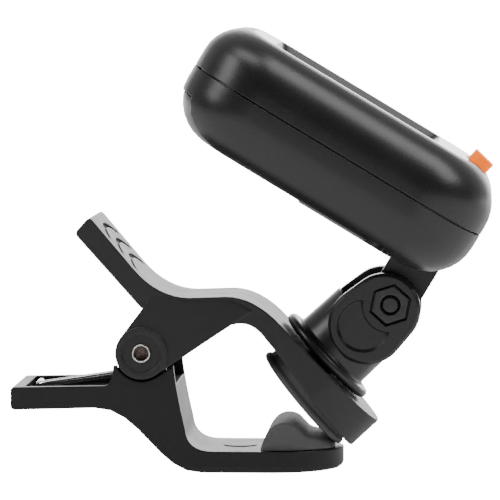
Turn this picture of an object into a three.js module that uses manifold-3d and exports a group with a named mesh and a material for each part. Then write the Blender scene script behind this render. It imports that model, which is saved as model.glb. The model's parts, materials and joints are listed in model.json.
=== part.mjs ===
// Clip-on instrument tuner: a sprung clip, a turning yoke, and a display head that tilts on the yoke.
// Millimetres. X runs from the clip's handles to its jaws, Y across its width, Z up from the flat lower jaw.
import * as THREE from "three";
import { mergeVertices } from "three/addons/utils/BufferGeometryUtils.js";
import Module from "manifold-3d";

const wasm = await Module();
wasm.setup();

// ---- Sizes that drive the part ----
const GAP = 0.3; // between two pieces that bear on each other
const WALL = 1.6; // moulded wall of both arms
const ARM_WIDTH = 22;
const HALF_ARM = ARM_WIDTH / 2;
const CURVE_STEPS = 8;
const ROUND_STEPS = 32;
const WELD = 1e-4;

// Clip pivot: a hollow rivet through both pairs of ears
const PIVOT_X = -24.3;
const PIVOT_Z = 19.6;
const EAR_RADIUS = 4.26; // outer boss of the upper arm
const EAR_DISH_RADIUS = 3.25;
const EAR_DISH_DEPTH = 0.3;
const LOWER_EAR_RADIUS = 3.9;
const EAR_THICKNESS = 2;
const BOSS_FACE = HALF_ARM + 0.6;
const EAR_SPLAY = 0.4; // how far the ear leans out between its top and the pivot
const UPPER_EAR_INNER = HALF_ARM - 1.8;
const LOWER_EAR_OUTER = UPPER_EAR_INNER - GAP;
const LOWER_EAR_INNER = LOWER_EAR_OUTER - EAR_THICKNESS;
const RIVET_RADIUS = 1.25;
const RIVET_HOLE_RADIUS = 1;
const RIVET_LIP_RADIUS = 1.6;
const RIVET_LIP_HOLE = 1.25;
const RIVET_HOLE_DEPTH = 3.5; // blind hole in each end
const RIVET_BORE = RIVET_RADIUS + 0.25;

// Lower arm
const LOWER_HANDLE_END = -45.8;
const LOWER_HANDLE_TOP = 13.9;
const LOWER_HANDLE_BASE = 10.2;
const JAW_HEIGHT = 3.5;
const JAW_TIP = 8.5;
const JAW_EDGE = 1.2; // rounding under the jaw's tip
const JAW_SIDE_EDGE = 0.4; // and under its sides
const JAW_SPLIT_TOP = 14.5; // top of the cross wall between the ears
const WITNESS_X = -8.7;
const WITNESS_RADIUS = 2.75;
const WITNESS_HEIGHT = 0.12;
const PAD_EDGE = 0.25; // how far the lower pad stays inside the jaw outline

// Torsion spring
const WIRE_RADIUS = 0.55;
const COIL_RADIUS = 3.15;
const COIL_TURNS = 5;
const COIL_PITCH = 1.45;
const LOWER_LEG = 18.4;
const UPPER_LEG = 18;
const FOOT_LENGTH = 6;

// Swivel frame: origin on the tilt axis, its Z along the swivel axis, its X toward the clip tip
const HINGE_X = 16.3;
const HINGE_Z = 27.4;
const SWIVEL_LEAN = THREE.MathUtils.degToRad(47);
const SWIVEL_OFFSET = -0.7; // swivel axis from the tilt axis
const ARM_FACE = -14.9; // the face of the upper arm that the yoke turns on
const ARM_TIP = 12.95;
const TIP_CENTRE = ARM_TIP - HALF_ARM;
const ARM_EDGE_BACK = { r: -7.9, s: -18.6 };
const ARM_EDGE_TIP_S = -20.9;
const SPIGOT_RADIUS = 2.6;
const SWIVEL_SCREW_RADIUS = 1.25;
const SWIVEL_HEAD_RADIUS = 2.5;
const SWIVEL_WASHER_RADIUS = 3.9;
const UPPER_PAD_CENTRE = TIP_CENTRE - 0.15;
const UPPER_PAD_RADIUS = HALF_ARM - WALL - GAP;
const UPPER_PAD_LIP_RADIUS = UPPER_PAD_RADIUS + 0.45;
const UPPER_PAD_LIP = 1.3;
const UPPER_PAD_BOTTOM = -21.95;
const UPPER_PAD_LEAN = THREE.MathUtils.degToRad(3);

// Yoke
const FLANGE_RADIUS = 9.15;
const FLANGE_BEAD = 0.8; // radius of the flange's rounded rim
const NECK_RADIUS = 7.05;
const SLOT_FLOOR = -4.8;
const YOKE_HALF = 7.3;
const YOKE_ROUND_LOW = { r: -0.1, s: -5.1, radius: 6.4 };
const YOKE_ROUND_TOP = { r: -0.1, s: -1.3, radius: 5.95 };
const YOKE_CHAMFER = 0.45; // round each ear's outer face
const HEAD_EAR_EXTRA = 0.65; // how much wider the ear on the bolt head's side is, away from the clip tip
const TONGUE_HALF = 2.6;
const FRICTION_WASHER = 0.7;
const FRICTION_WASHER_RADIUS = 4.2;
const SLOT_HALF = TONGUE_HALF + GAP + FRICTION_WASHER + GAP;
const BOLT_RADIUS = 1.5;
const BOLT_BORE = BOLT_RADIUS + GAP;
const BOLT_POINT_RADIUS = 1.22;
const BOLT_POINT_LENGTH = 0.9;
const NUT_ACROSS = 5.5;
const NUT_POCKET_ACROSS = 6.25;
const NUT_TURN = THREE.MathUtils.degToRad(18);
const NUT_THICKNESS = 2;
const BOLT_HEAD_RADIUS = 2.75;
const BOLT_HEAD_THICKNESS = 1.8;
const POCKET_FLOOR = YOKE_HALF - 2.2;
const RELIEF_DEPTH = 0.5; // shallow moulded crescent on each ear of the yoke
const RELIEF_SLOPE = 0.7; // how far the crescent's walls lean out for each mm of depth
const RELIEF_RADIUS = 4;
const RELIEF_BOLT_CLEARANCE = 4.8; // radius round the bolt that the crescent's floor stays out of

// Head: its own frame has X along its length, toward the hinge end, and Z toward the display
const HEAD_LEAN = THREE.MathUtils.degToRad(31);
const HEAD_FROM_HINGE_X = -20.5;
const HEAD_FROM_HINGE_Z = 17.07;
const HEAD_LENGTH = 54;
const HEAD_WIDTH = 46;
const HEAD_THICKNESS = 19.86;
const HEAD_CORNER = 12;
const HEAD_EDGE = 8; // rounding from the sides to the front and back faces
const HEAD_FAR_EDGE = 6.5; // tighter rounding on the far end of the front
const FRONT_EDGE_STOP = 0.985; // the front rounding stops this share of its radius up, at a crisp edge
const HEAD_WALL = 1.8;
const PARTING = 0.5;
const LIP_HEIGHT = 1.2;
const HEAD_ROWS = 8;
const TONGUE_RADIUS = 4;
const FRONT_FACE = HEAD_THICKNESS / 2;
const BACK_FACE = -HEAD_THICKNESS / 2;
const WINDOW_START = -17.5;
const WINDOW_END = 13.4;
const WINDOW_WIDTH = 28;
const WINDOW_CORNER = 2.4;
const WINDOW_CHAMFER = 1;
const LENS_DEPTH = 1; // lens face below the front face
const LENS_THICKNESS = 1.2;
const BUTTON_LEAN = THREE.MathUtils.degToRad(13);
const BUTTON_X = 20.95;
const BUTTON_Z = 9.75;
const BUTTON_LENGTH = 3.8;
const BUTTON_WIDTH = 8;
const BUTTON_RISE = 1.7;
const DOOR_LENGTH = 26;
const DOOR_WIDTH = 35;
const DOOR_EDGE = -4; // how high the door reaches on the end of the head
const DOOR_SINK = 0.25; // how far the door lies below the skin round it
const CASE_SCREW_X = 13.5;
const CASE_SCREW_Y = 17;
const CELL_RADIUS = 10;
const CELL_THICKNESS = 3.2;
const CELL_X = -11.6;

// ---- Materials ----
function plastic(name, color, roughness) {
  const material = new THREE.MeshStandardMaterial({ color, roughness, metalness: 0 });
  material.name = name;
  return material;
}

function metal(name, color, roughness) {
  const material = new THREE.MeshStandardMaterial({ color, roughness, metalness: 1 });
  material.name = name;
  return material;
}

const blackPlastic = () => plastic("black_plastic", 0x1b1b1c, 0.45);
const greyRubber = () => plastic("grey_rubber", 0x3c3c3d, 0.85);
const orangePlastic = () => plastic("orange_plastic", 0xff6a10, 0.5);
const glossyLens = () => plastic("display_lens", 0x0a0b0d, 0.08);
const displayGlass = () => plastic("display_glass", 0x20262a, 0.2);
const diffuser = () => plastic("light_diffuser", 0xd8dadb, 0.7);
const boardGreen = () => plastic("board_laminate", 0x1d5a33, 0.6);
const chipEpoxy = () => plastic("chip_epoxy", 0x121212, 0.7);
const brightSteel = () => metal("bright_steel", 0xc9c9c8, 0.22);
const blackSteel = () => metal("black_steel", 0x1d1d1e, 0.4);
const brass = () => metal("brass", 0xc2a050, 0.35);
const nylon = () => plastic("nylon", 0xd5d2c8, 0.6);

// ---- Solids ----
function solidOf(geometry) {
  const bare = new THREE.BufferGeometry();
  bare.setAttribute("position", geometry.getAttribute("position").clone());
  if (geometry.index) bare.setIndex(geometry.index.clone());
  const welded = mergeVertices(bare, WELD);
  return new wasm.Manifold(
    new wasm.Mesh({
      numProp: 3,
      vertProperties: welded.attributes.position.array,
      triVerts: new Uint32Array(welded.index.array),
    }),
  );
}

function geometryOf(solid) {
  const mesh = solid.getMesh();
  const geometry = new THREE.BufferGeometry();
  geometry.setAttribute("position", new THREE.BufferAttribute(mesh.vertProperties, 3));
  geometry.setIndex(new THREE.BufferAttribute(mesh.triVerts, 1));
  const faceted = geometry.toNonIndexed();
  faceted.computeVertexNormals();
  return faceted;
}

function part(name, solid, material) {
  const mesh = new THREE.Mesh(geometryOf(solid), material);
  mesh.name = name;
  return mesh;
}

// An outline in the X-Z plane made solid from one distance along Y to another.
function slab(shape, from, to) {
  const depth = to - from;
  const geometry = new THREE.ExtrudeGeometry(shape, { depth, bevelEnabled: false, curveSegments: CURVE_STEPS });
  geometry.rotateX(Math.PI / 2);
  geometry.translate(0, to, 0);
  return solidOf(geometry);
}

// An outline in the X-Y plane made solid from one height to another.
function plate(shape, from, to) {
  const depth = to - from;
  const geometry = new THREE.ExtrudeGeometry(shape, { depth, bevelEnabled: false, curveSegments: CURVE_STEPS });
  geometry.translate(0, 0, from);
  return solidOf(geometry);
}

function block(x0, x1, y0, y1, z0, z1) {
  const geometry = new THREE.BoxGeometry(x1 - x0, y1 - y0, z1 - z0);
  geometry.translate((x0 + x1) / 2, (y0 + y1) / 2, (z0 + z1) / 2);
  return solidOf(geometry);
}

// A cylinder along Y.
function pin(x, z, radius, from, to, steps = ROUND_STEPS) {
  const geometry = new THREE.CylinderGeometry(radius, radius, to - from, steps);
  geometry.translate(x, (from + to) / 2, z);
  return solidOf(geometry);
}

// A cylinder along Z.
function post(x, y, radius, from, to, steps = ROUND_STEPS) {
  const geometry = new THREE.CylinderGeometry(radius, radius, to - from, steps);
  geometry.rotateX(Math.PI / 2);
  geometry.translate(x, y, (from + to) / 2);
  return solidOf(geometry);
}

// A profile of [radius, height] pairs turned about a line along Z.
function turned(profile, x = 0, steps = ROUND_STEPS) {
  const points = profile.map(([radius, height]) => new THREE.Vector2(radius, height));
  const geometry = new THREE.LatheGeometry(points, steps);
  geometry.rotateX(Math.PI / 2);
  geometry.translate(x, 0, 0);
  return solidOf(geometry);
}

function moved(solid, matrix) {
  return solidOf(geometryOf(solid).applyMatrix4(matrix));
}

function bothSides(make) {
  return make(1).add(make(-1));
}

// Distances a and b from the middle plane as an ordered pair on the chosen side.
function onSide(side, inner, outer) {
  return side > 0 ? [inner, outer] : [-outer, -inner];
}

function polygon(points) {
  return new THREE.Shape(points.map(([x, y]) => new THREE.Vector2(x, y)));
}

function roundedRectangle(x0, x1, y0, y1, corner) {
  const shape = new THREE.Shape();
  shape.moveTo(x0 + corner, y0);
  shape.lineTo(x1 - corner, y0);
  shape.absarc(x1 - corner, y0 + corner, corner, -Math.PI / 2, 0);
  shape.absarc(x1 - corner, y1 - corner, corner, 0, Math.PI / 2);
  shape.absarc(x0 + corner, y1 - corner, corner, Math.PI / 2, Math.PI);
  shape.absarc(x0 + corner, y0 + corner, corner, Math.PI, Math.PI * 1.5);
  return shape;
}

// Takes an outline toward a corner and round it, starting this far short of it, on the way to the next point.
function roundCorner(shape, corner, next, reach) {
  const at = new THREE.Vector2(...corner);
  const enter = shape.currentPoint.clone().sub(at).setLength(reach).add(at);
  const leave = new THREE.Vector2(...next).sub(at).setLength(reach).add(at);
  shape.lineTo(enter.x, enter.y);
  shape.quadraticCurveTo(at.x, at.y, leave.x, leave.y);
}

// ---- Frames ----
const swivelFrame = new THREE.Matrix4()
  .makeTranslation(HINGE_X, 0, HINGE_Z)
  .multiply(new THREE.Matrix4().makeRotationY(SWIVEL_LEAN));

// A point given along the arm face (r) and along the swivel axis (s), in the part's X and Z.
function fromSwivel({ r, s }) {
  const point = new THREE.Vector3(r, 0, s).applyMatrix4(swivelFrame);
  return [point.x, point.z];
}

// ---- Lower arm ----
function jawPlan(halfWidth, tip = JAW_TIP) {
  const shape = new THREE.Shape();
  const centre = tip - halfWidth;
  shape.moveTo(LOWER_HANDLE_END - 1, -halfWidth);
  shape.lineTo(centre, -halfWidth);
  shape.absarc(centre, 0, halfWidth, -Math.PI / 2, Math.PI / 2);
  shape.lineTo(LOWER_HANDLE_END - 1, halfWidth);
  return shape;
}

// The solid under that outline, with its lower edge rounded.
function jawBody() {
  const steps = 4;
  const rings = [];
  const ringAt = (share, height) => {
    const outline = jawPlan(HALF_ARM - share * JAW_SIDE_EDGE, JAW_TIP - share * JAW_EDGE).getPoints(CURVE_STEPS);
    rings.push(outline.map((point) => new THREE.Vector3(point.x, point.y, height)));
  };
  for (let step = 0; step <= steps; step += 1) {
    const angle = (step * Math.PI) / (2 * steps);
    ringAt(1 - Math.sin(angle), JAW_EDGE * (1 - Math.cos(angle)));
  }
  ringAt(0, 30);
  return skinned(rings);
}

function lowerOutline() {
  const heel = [LOWER_HANDLE_END, LOWER_HANDLE_BASE];
  const brow = [LOWER_HANDLE_END, LOWER_HANDLE_TOP];
  const underside = [-32, 10.6];
  const shape = new THREE.Shape();
  shape.moveTo(...underside);
  shape.bezierCurveTo(-24.4, 10.8, -21.7, -0.2, -14.4, 0);
  shape.lineTo(JAW_TIP, 0);
  shape.lineTo(JAW_TIP, JAW_HEIGHT);
  shape.lineTo(-12.5, JAW_HEIGHT);
  shape.quadraticCurveTo(-16.9, JAW_HEIGHT, -17.2, 7.2);
  shape.quadraticCurveTo(-18.7, 13.4, -19.1, 17.6);
  shape.lineTo(-28.9, 17.5);
  shape.quadraticCurveTo(-29.1, 14.4, -30.4, 14.2);
  roundCorner(shape, brow, heel, 0.6);
  roundCorner(shape, heel, underside, 0.8);
  return shape;
}

function lowerHollow() {
  const shape = new THREE.Shape();
  shape.moveTo(LOWER_HANDLE_END + WALL + 0.5, LOWER_HANDLE_BASE + WALL + 0.1);
  shape.lineTo(-32, 12.7);
  shape.bezierCurveTo(-23.4, 12.9, -21.7, 5.2, -19.2, 4.4);
  shape.quadraticCurveTo(-19.1, 9.5, -20.6, 15.3);
  shape.lineTo(-20.6, 30);
  shape.lineTo(LOWER_HANDLE_END + WALL + 0.5, 30);
  return shape;
}

// The web that carries the lower arm's pivot hole.
function lowerEar() {
  const shape = new THREE.Shape();
  const left = PIVOT_X - LOWER_EAR_RADIUS;
  const right = PIVOT_X + LOWER_EAR_RADIUS;
  shape.moveTo(left, 10.6);
  shape.lineTo(PIVOT_X, 7.8);
  shape.lineTo(right, 3.8);
  shape.lineTo(right, PIVOT_Z);
  shape.absarc(PIVOT_X, PIVOT_Z, LOWER_EAR_RADIUS, 0, Math.PI);
  return shape;
}

// The room that the upper arm's ear needs in the lower arm's outer wall.
function earRoom() {
  const radius = EAR_RADIUS + GAP + 0.05;
  const lean = THREE.MathUtils.degToRad(33.5);
  const shape = new THREE.Shape();
  shape.moveTo(PIVOT_X + 12, 30);
  shape.lineTo(PIVOT_X - radius, 30);
  shape.absarc(PIVOT_X, PIVOT_Z, radius, Math.PI, Math.PI * 1.5 + lean);
  shape.lineTo(
    PIVOT_X + radius * Math.sin(lean) + 12 * Math.cos(lean),
    PIVOT_Z - radius * Math.cos(lean) + 12 * Math.sin(lean),
  );
  return shape;
}

function lowerArm() {
  let arm = slab(lowerOutline(), -HALF_ARM, HALF_ARM);
  arm = arm.intersect(jawBody());
  const inside = HALF_ARM - WALL;
  arm = arm.subtract(slab(lowerHollow(), -inside, inside));
  arm = arm.subtract(block(-22, -17, -inside, inside, JAW_SPLIT_TOP, 20));
  arm = arm.add(bothSides((side) => slab(lowerEar(), ...onSide(side, LOWER_EAR_INNER, inside + 0.2))));
  arm = arm.subtract(bothSides((side) => slab(earRoom(), ...onSide(side, LOWER_EAR_OUTER, HALF_ARM + 1))));
  arm = arm.subtract(pin(PIVOT_X, PIVOT_Z, RIVET_BORE, -HALF_ARM, HALF_ARM));
  return arm.add(post(WITNESS_X, 0, WITNESS_RADIUS, JAW_HEIGHT - 1, JAW_HEIGHT + WITNESS_HEIGHT));
}

// ---- Lower pad ----
function lowerPadOutline() {
  const base = JAW_HEIGHT + GAP;
  const shape = new THREE.Shape();
  shape.moveTo(-4.75, base);
  shape.lineTo(6.9, base);
  shape.quadraticCurveTo(5.9, 5.5, 4.7, 5.75);
  shape.lineTo(3.6, 5.75);
  shape.quadraticCurveTo(2.4, 5.6, 1.9, 6.4);
  shape.bezierCurveTo(0.9, 8.8, -2.5, 9, -3.7, 6.6);
  shape.quadraticCurveTo(-4.4, 5.2, -4.75, base);
  return shape;
}

function lowerPad() {
  const halfWidth = HALF_ARM - PAD_EDGE;
  const plan = jawPlan(halfWidth, JAW_TIP - PAD_EDGE);
  return slab(lowerPadOutline(), -halfWidth, halfWidth).intersect(plate(plan, 0, 30));
}

// ---- Rivet ----
function pivotRivet() {
  const lipStart = BOSS_FACE - EAR_DISH_DEPTH + 0.2;
  const lipEnd = lipStart + 0.3;
  const blunt = 0.08;
  const flare = 0.3;
  const half = [
    [0, lipStart - RIVET_HOLE_DEPTH],
    [RIVET_HOLE_RADIUS, lipStart - RIVET_HOLE_DEPTH],
    [RIVET_HOLE_RADIUS, lipStart - flare],
    [RIVET_LIP_HOLE, lipEnd],
    [RIVET_LIP_RADIUS, lipEnd - blunt],
    [RIVET_LIP_RADIUS, lipStart],
    [RIVET_RADIUS, lipStart],
  ];
  const mirrored = half.map(([radius, along]) => [radius, -along]);
  const profile = [...mirrored, ...half.toReversed()];
  const points = profile.map(([radius, along]) => new THREE.Vector2(radius, along));
  const geometry = new THREE.LatheGeometry(points, ROUND_STEPS);
  geometry.translate(PIVOT_X, 0, PIVOT_Z);
  return solidOf(geometry);
}

// ---- Torsion spring ----
// Five turns round the rivet, with one leg along each handle and a foot across the end of each leg.
function torsionSpring() {
  const lowerAngle = THREE.MathUtils.degToRad(-81.4);
  const upperAngle = THREE.MathUtils.degToRad(33);
  const sweep = COIL_TURNS * 2 * Math.PI + (upperAngle - lowerAngle);
  const length = (COIL_PITCH * sweep) / (2 * Math.PI);
  const stepsPerTurn = 12;
  const steps = Math.round((stepsPerTurn * sweep) / (2 * Math.PI));
  const onCoil = (angle, along) =>
    new THREE.Vector3(PIVOT_X + COIL_RADIUS * Math.cos(angle), along, PIVOT_Z + COIL_RADIUS * Math.sin(angle));
  const start = onCoil(lowerAngle, -length / 2);
  const end = onCoil(upperAngle, length / 2);
  const lowerWay = new THREE.Vector3(Math.sin(lowerAngle), 0, -Math.cos(lowerAngle));
  const upperWay = new THREE.Vector3(-Math.sin(upperAngle), 0, Math.cos(upperAngle));
  const lowerEnd = start.clone().addScaledVector(lowerWay, LOWER_LEG);
  const upperEnd = end.clone().addScaledVector(upperWay, UPPER_LEG);
  const foot = new THREE.Vector3(0, FOOT_LENGTH, 0);
  const bend = 1.2;
  const points = [
    lowerEnd.clone().add(foot),
    lowerEnd.clone().addScaledVector(foot, bend / FOOT_LENGTH),
    lowerEnd.clone().addScaledVector(lowerWay, -bend),
    start.clone().addScaledVector(lowerWay, LOWER_LEG / 2),
  ];
  for (let step = 0; step <= steps; step += 1) {
    const share = step / steps;
    points.push(onCoil(lowerAngle + sweep * share, length * (share - 0.5)));
  }
  points.push(
    end.clone().addScaledVector(upperWay, UPPER_LEG / 2),
    upperEnd.clone().addScaledVector(upperWay, -bend),
    upperEnd.clone().addScaledVector(foot, -bend / FOOT_LENGTH),
    upperEnd.clone().sub(foot),
  );
  const path = new THREE.CatmullRomCurve3(points, false, "centripetal");
  const wire = new THREE.Shape().absarc(0, 0, WIRE_RADIUS, 0, 2 * Math.PI);
  return solidOf(
    new THREE.ExtrudeGeometry(wire, { steps: 130, extrudePath: path, bevelEnabled: false, curveSegments: 4 }),
  );
}

// ---- Upper arm ----
const HANDLE_TOP_CORNER = [-32.8, 41.95];
const HANDLE_LOW_CORNER = [-35.25, 39.2];

function upperOutline() {
  const shape = new THREE.Shape();
  const underHandle = [-24.4, 27.1];
  shape.moveTo(...underHandle);
  shape.lineTo(-19, 24);
  shape.lineTo(-9.5, 24.3);
  shape.quadraticCurveTo(-6.2, 25.3, -3.9, 21.9);
  shape.lineTo(...fromSwivel(ARM_EDGE_BACK));
  const tipTop = fromSwivel({ r: ARM_TIP, s: ARM_FACE });
  const armCrest = [-1.5, 24.26];
  roundCorner(shape, fromSwivel({ r: ARM_TIP, s: ARM_EDGE_TIP_S }), tipTop, 0.4);
  roundCorner(shape, tipTop, armCrest, 0.3);
  shape.lineTo(...armCrest);
  shape.quadraticCurveTo(-5.87, 28.95, -10.5, 28.9);
  shape.lineTo(-16.5, 28.7);
  shape.quadraticCurveTo(-21.54, 28.75, -25.5, 33.3);
  roundCorner(shape, HANDLE_TOP_CORNER, HANDLE_LOW_CORNER, 0.9);
  roundCorner(shape, HANDLE_LOW_CORNER, underHandle, 0.9);
  return shape;
}

function upperHollow() {
  const under = ARM_FACE - WALL;
  const shape = new THREE.Shape();
  shape.moveTo(-33.05, 39.35);
  shape.lineTo(-40, 30.4);
  shape.lineTo(-30, -5);
  shape.lineTo(...fromSwivel({ r: ARM_TIP, s: -40 }));
  shape.lineTo(...fromSwivel({ r: ARM_TIP, s: under }));
  shape.lineTo(...fromSwivel({ r: -9.6, s: under }));
  shape.quadraticCurveTo(-6.5, 27.3, -10.6, 27.25);
  shape.lineTo(-16.6, 27.05);
  shape.quadraticCurveTo(-22.3, 27.15, -26.8, 32.2);
  return shape;
}

function tipPlan(halfWidth) {
  const shape = new THREE.Shape();
  shape.moveTo(-70, -halfWidth);
  shape.lineTo(TIP_CENTRE, -halfWidth);
  shape.absarc(TIP_CENTRE, 0, halfWidth, -Math.PI / 2, Math.PI / 2);
  shape.lineTo(-70, halfWidth);
  return shape;
}

// The plate that fans from the pivot boss up the side of the upper arm.
function upperEar() {
  const shape = new THREE.Shape();
  const left = THREE.MathUtils.degToRad(53.9);
  const right = THREE.MathUtils.degToRad(33.5);
  shape.moveTo(-22.5, 29.1);
  shape.lineTo(PIVOT_X - EAR_RADIUS * Math.sin(left), PIVOT_Z + EAR_RADIUS * Math.cos(left));
  shape.absarc(PIVOT_X, PIVOT_Z, EAR_RADIUS, Math.PI / 2 + left, Math.PI * 1.5 + right);
  shape.lineTo(-6.2, 26.55);
  shape.lineTo(-9.4, 28.2);
  shape.lineTo(-17, 28.2);
  return shape;
}

// The ear slab with its outer face leaning out toward the pivot.
function splayedEar(side) {
  const [from, to] = onSide(side, UPPER_EAR_INNER, HALF_ARM);
  const geometry = new THREE.ExtrudeGeometry(upperEar(), {
    depth: to - from,
    bevelEnabled: false,
    curveSegments: 12,
  });
  geometry.rotateX(Math.PI / 2);
  geometry.translate(0, to, 0);
  const positions = geometry.getAttribute("position");
  const top = 29.1;
  for (let i = 0; i < positions.count; i += 1) {
    const isOuter = Math.abs(Math.abs(positions.getY(i)) - HALF_ARM) < WELD;
    if (!isOuter) continue;
    const lean = (EAR_SPLAY * (top - positions.getZ(i))) / (top - PIVOT_Z);
    positions.setY(i, side * (HALF_ARM + lean));
  }
  return solidOf(geometry);
}

function upperEars(side) {
  const dish = BOSS_FACE - EAR_DISH_DEPTH;
  return splayedEar(side)
    .add(pin(PIVOT_X, PIVOT_Z, EAR_RADIUS, ...onSide(side, UPPER_EAR_INNER, BOSS_FACE), 48))
    .subtract(pin(PIVOT_X, PIVOT_Z, EAR_DISH_RADIUS, ...onSide(side, dish, HALF_ARM + 3)))
    .subtract(pin(PIVOT_X, PIVOT_Z, RIVET_BORE, ...onSide(side, 5, HALF_ARM + 3)));
}

// Three curved finger grooves across the top of the upper handle.
function gripGrooves() {
  const pitch = 3.3;
  const bow = 14.4;
  const halfSweep = THREE.MathUtils.degToRad(33);
  const lean = Math.atan2(8.5, 7.4);
  const depth = 0.6;
  const firstFromEnd = 2.1;
  const width = 1;
  let grooves = null;
  for (let i = 0; i < 3; i += 1) {
    const shape = new THREE.Shape();
    shape.absarc(0, 0, bow, Math.PI - halfSweep, Math.PI + halfSweep);
    shape.absarc(0, 0, bow - width, Math.PI + halfSweep, Math.PI - halfSweep, true);
    const geometry = new THREE.ExtrudeGeometry(shape, { depth: 3, bevelEnabled: false, curveSegments: 7 });
    geometry.translate(bow + firstFromEnd + pitch * i, 0, -depth);
    geometry.rotateY(lean);
    geometry.translate(HANDLE_TOP_CORNER[0], 0, HANDLE_TOP_CORNER[1]);
    const groove = solidOf(geometry);
    grooves = grooves ? grooves.add(groove) : groove;
  }
  return grooves;
}

function upperArm() {
  const reach = { from: -80, to: 60 };
  const outerPlan = moved(plate(tipPlan(HALF_ARM), reach.from, reach.to), swivelFrame);
  const innerPlan = moved(plate(tipPlan(HALF_ARM - WALL), reach.from, reach.to), swivelFrame);
  const inside = HALF_ARM - WALL;
  const spigotHole = post(SWIVEL_OFFSET, 0, SPIGOT_RADIUS + GAP, ARM_FACE - 3, ARM_FACE + 1);
  return slab(upperOutline(), -HALF_ARM, HALF_ARM)
    .intersect(outerPlan)
    .subtract(slab(upperHollow(), -inside, inside).intersect(innerPlan))
    .add(bothSides(upperEars))
    .subtract(moved(spigotHole, swivelFrame))
    .subtract(gripGrooves());
}

// ---- Upper pad, in the swivel frame ----
function upperPad() {
  const top = ARM_FACE - WALL - GAP;
  const lipTop = UPPER_PAD_BOTTOM + UPPER_PAD_LIP;
  const blunt = 0.25;
  const profile = [
    [0, UPPER_PAD_BOTTOM],
    [UPPER_PAD_LIP_RADIUS - blunt, UPPER_PAD_BOTTOM],
    [UPPER_PAD_LIP_RADIUS, UPPER_PAD_BOTTOM + blunt],
    [UPPER_PAD_LIP_RADIUS, lipTop - blunt],
    [UPPER_PAD_LIP_RADIUS - blunt, lipTop],
    [UPPER_PAD_RADIUS, lipTop],
    [UPPER_PAD_RADIUS, top + 1],
    [0, top + 1],
  ];
  const toLean = new THREE.Matrix4()
    .makeTranslation(UPPER_PAD_CENTRE, 0, UPPER_PAD_BOTTOM)
    .multiply(new THREE.Matrix4().makeRotationY(UPPER_PAD_LEAN))
    .multiply(new THREE.Matrix4().makeTranslation(0, 0, -UPPER_PAD_BOTTOM));
  const screwRoom = post(SWIVEL_OFFSET, 0, SWIVEL_WASHER_RADIUS + GAP, UPPER_PAD_BOTTOM + 1.7, top + 2);
  return moved(turned(profile, 0, 48), toLean)
    .intersect(block(-15, 15, -15, 15, -30, top))
    .subtract(screwRoom);
}

// ---- Yoke and its fastenings, in the swivel frame ----
function yokeSide() {
  const low = YOKE_ROUND_LOW;
  const top = YOKE_ROUND_TOP;
  const distance = Math.hypot(low.r - top.r, low.s - top.s);
  const toLow = Math.atan2(low.s - top.s, low.r - top.r);
  const spread = Math.acos((top.radius - low.radius) / distance);
  const shape = new THREE.Shape();
  shape.absarc(low.r, low.s, low.radius, toLow - spread, toLow + spread);
  shape.absarc(top.r, top.s, top.radius, toLow + spread, toLow - spread + 2 * Math.PI);
  return shape;
}

function hexagon(across, from, to) {
  const radius = across / Math.sqrt(3);
  const corners = [];
  for (let i = 0; i < 6; i += 1) {
    const angle = NUT_TURN + SWIVEL_LEAN + (i * Math.PI) / 3;
    corners.push([radius * Math.cos(angle), radius * Math.sin(angle)]);
  }
  return slab(polygon(corners), from, to);
}

function yokeBase() {
  const bottom = ARM_FACE + GAP;
  const beadSteps = 6;
  const bead = [];
  for (let step = 0; step <= beadSteps; step += 1) {
    const angle = (step * Math.PI) / beadSteps - Math.PI / 2;
    bead.push([
      FLANGE_RADIUS - FLANGE_BEAD * (1 - Math.cos(angle)),
      bottom + FLANGE_BEAD * (1 + Math.sin(angle)),
    ]);
  }
  const neckFoot = bottom + 2 * FLANGE_BEAD;
  const fillet = 0.45;
  return turned(
    [
      [0, bottom - GAP - WALL - 0.1],
      [SPIGOT_RADIUS, bottom - GAP - WALL - 0.1],
      [SPIGOT_RADIUS, bottom],
      ...bead,
      [NECK_RADIUS + fillet, neckFoot],
      [NECK_RADIUS, neckFoot + fillet],
      [NECK_RADIUS - 0.15, SLOT_FLOOR],
      [0, SLOT_FLOOR],
    ],
    SWIVEL_OFFSET,
    56,
  );
}

// Both ears as one block, with a chamfer round each outer face and the bolt head's side wider.
function yokeEars() {
  const geometry = new THREE.ExtrudeGeometry(yokeSide(), {
    depth: 2 * (YOKE_HALF - YOKE_CHAMFER),
    bevelThickness: YOKE_CHAMFER,
    bevelSize: YOKE_CHAMFER,
    bevelOffset: -YOKE_CHAMFER,
    bevelSegments: 1,
    curveSegments: 14,
  });
  geometry.rotateX(Math.PI / 2);
  geometry.translate(0, YOKE_HALF - YOKE_CHAMFER, 0);
  const ears = solidOf(geometry);
  const wider = moved(ears, new THREE.Matrix4().makeTranslation(-HEAD_EAR_EXTRA, 0, 0));
  return ears.add(wider.intersect(block(-20, 20, 0, 20, -20, 20)));
}

// A cone along Y standing on the crescent's floor, wider or narrower toward the outside.
function reliefCone(side, r, s, radius, growth) {
  const height = RELIEF_DEPTH + 1;
  const outer = radius + growth * height;
  const radii = side > 0 ? [outer, radius] : [radius, outer];
  const geometry = new THREE.CylinderGeometry(...radii, height, 48);
  geometry.translate(r, side * (YOKE_HALF - RELIEF_DEPTH + height / 2), s);
  return solidOf(geometry);
}

function crescentRelief(side) {
  return reliefCone(side, -0.5, -5.6, RELIEF_RADIUS, RELIEF_SLOPE).subtract(
    reliefCone(side, 0, 0, RELIEF_BOLT_CLEARANCE, -RELIEF_SLOPE),
  );
}

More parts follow.
